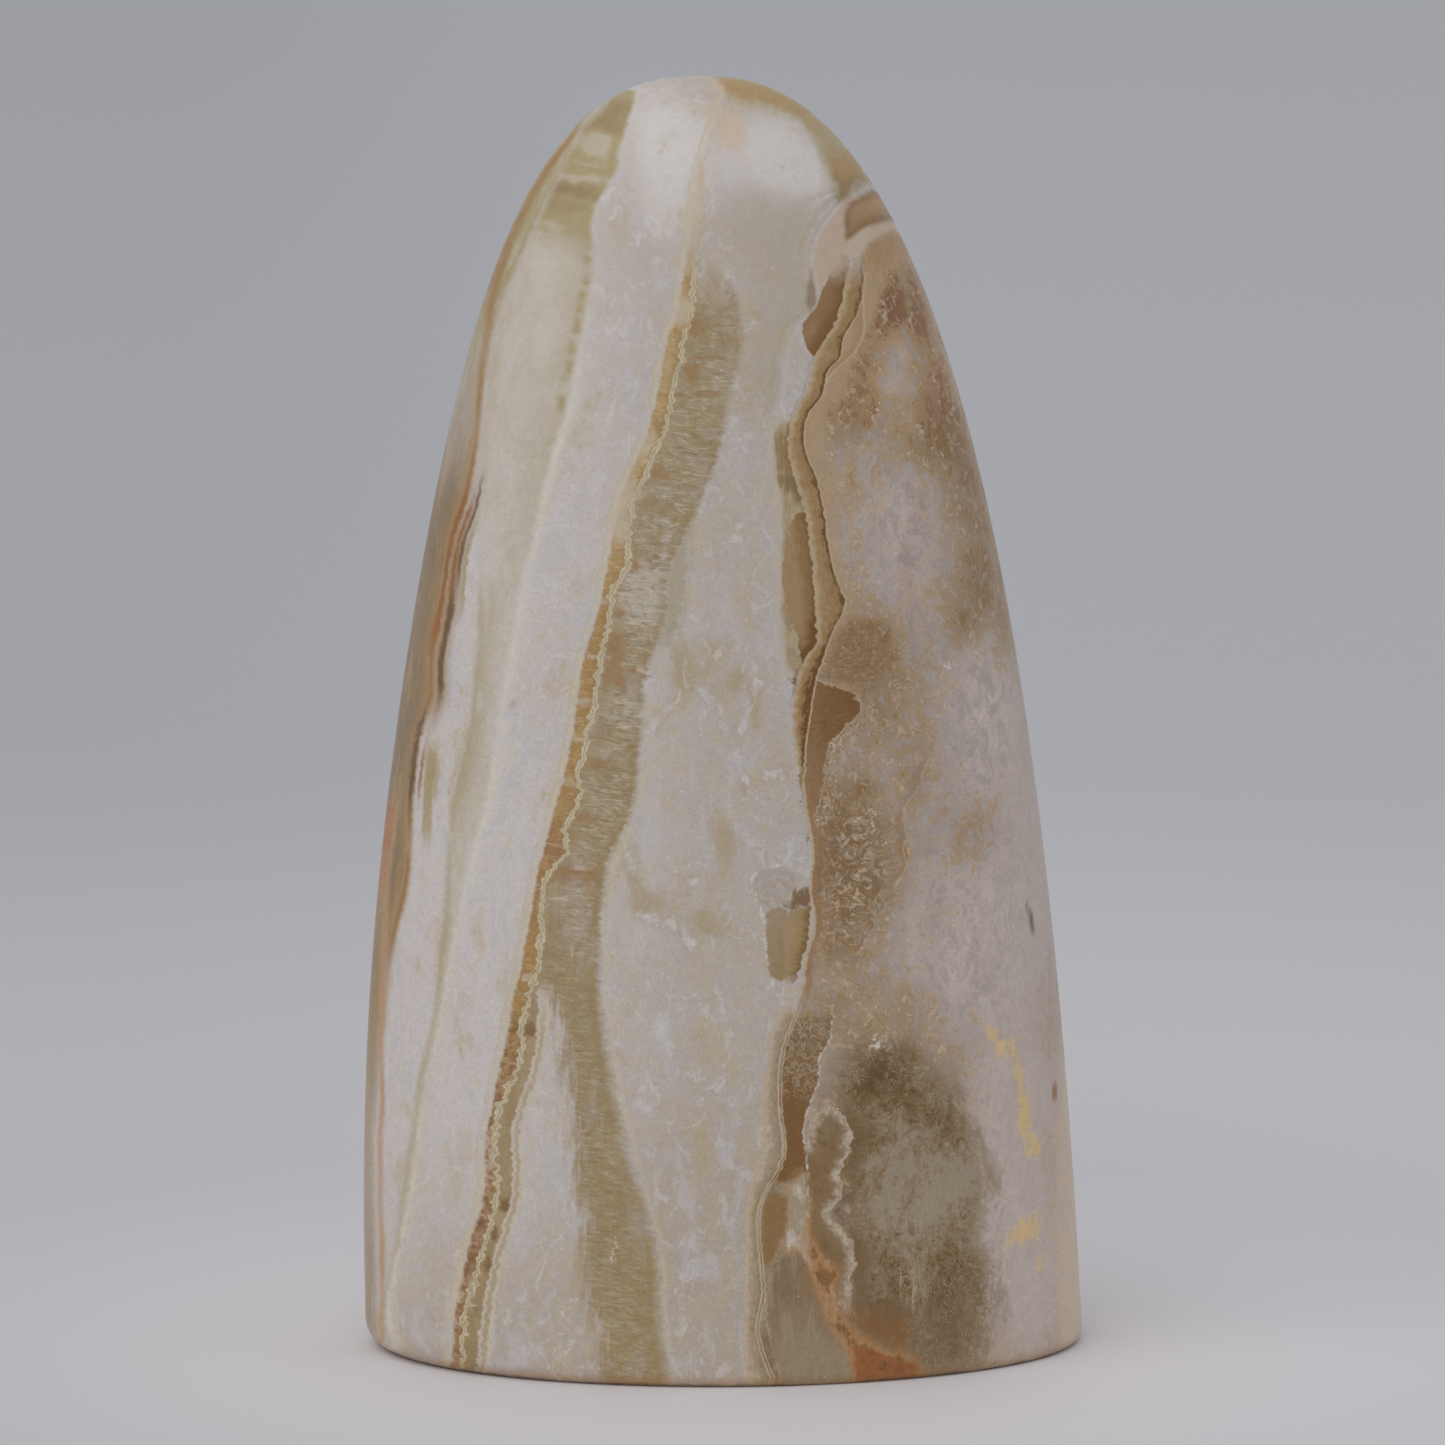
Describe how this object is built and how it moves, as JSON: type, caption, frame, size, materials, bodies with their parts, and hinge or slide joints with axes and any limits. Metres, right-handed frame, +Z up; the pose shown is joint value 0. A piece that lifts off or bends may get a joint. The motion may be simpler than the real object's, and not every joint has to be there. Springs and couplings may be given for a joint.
{
  "type": "polished aragonite freeform",
  "caption": "Tall polished dome of banded aragonite with an oval section and a flat cut base that it stands on.",
  "frame": {"origin": "middle of the flat cut base", "axes": "+Z up to the tip, +X to the right along the wide side of the oval, -Y out of the broad front face"},
  "size_m": [0.0738, 0.046, 0.13],
  "materials": {
    "polished_aragonite": "polished, slightly translucent banded stone"
  },
  "bodies": {
    "root": {"aragonite_stone": "polished_aragonite"}
  },
  "joints": []
}
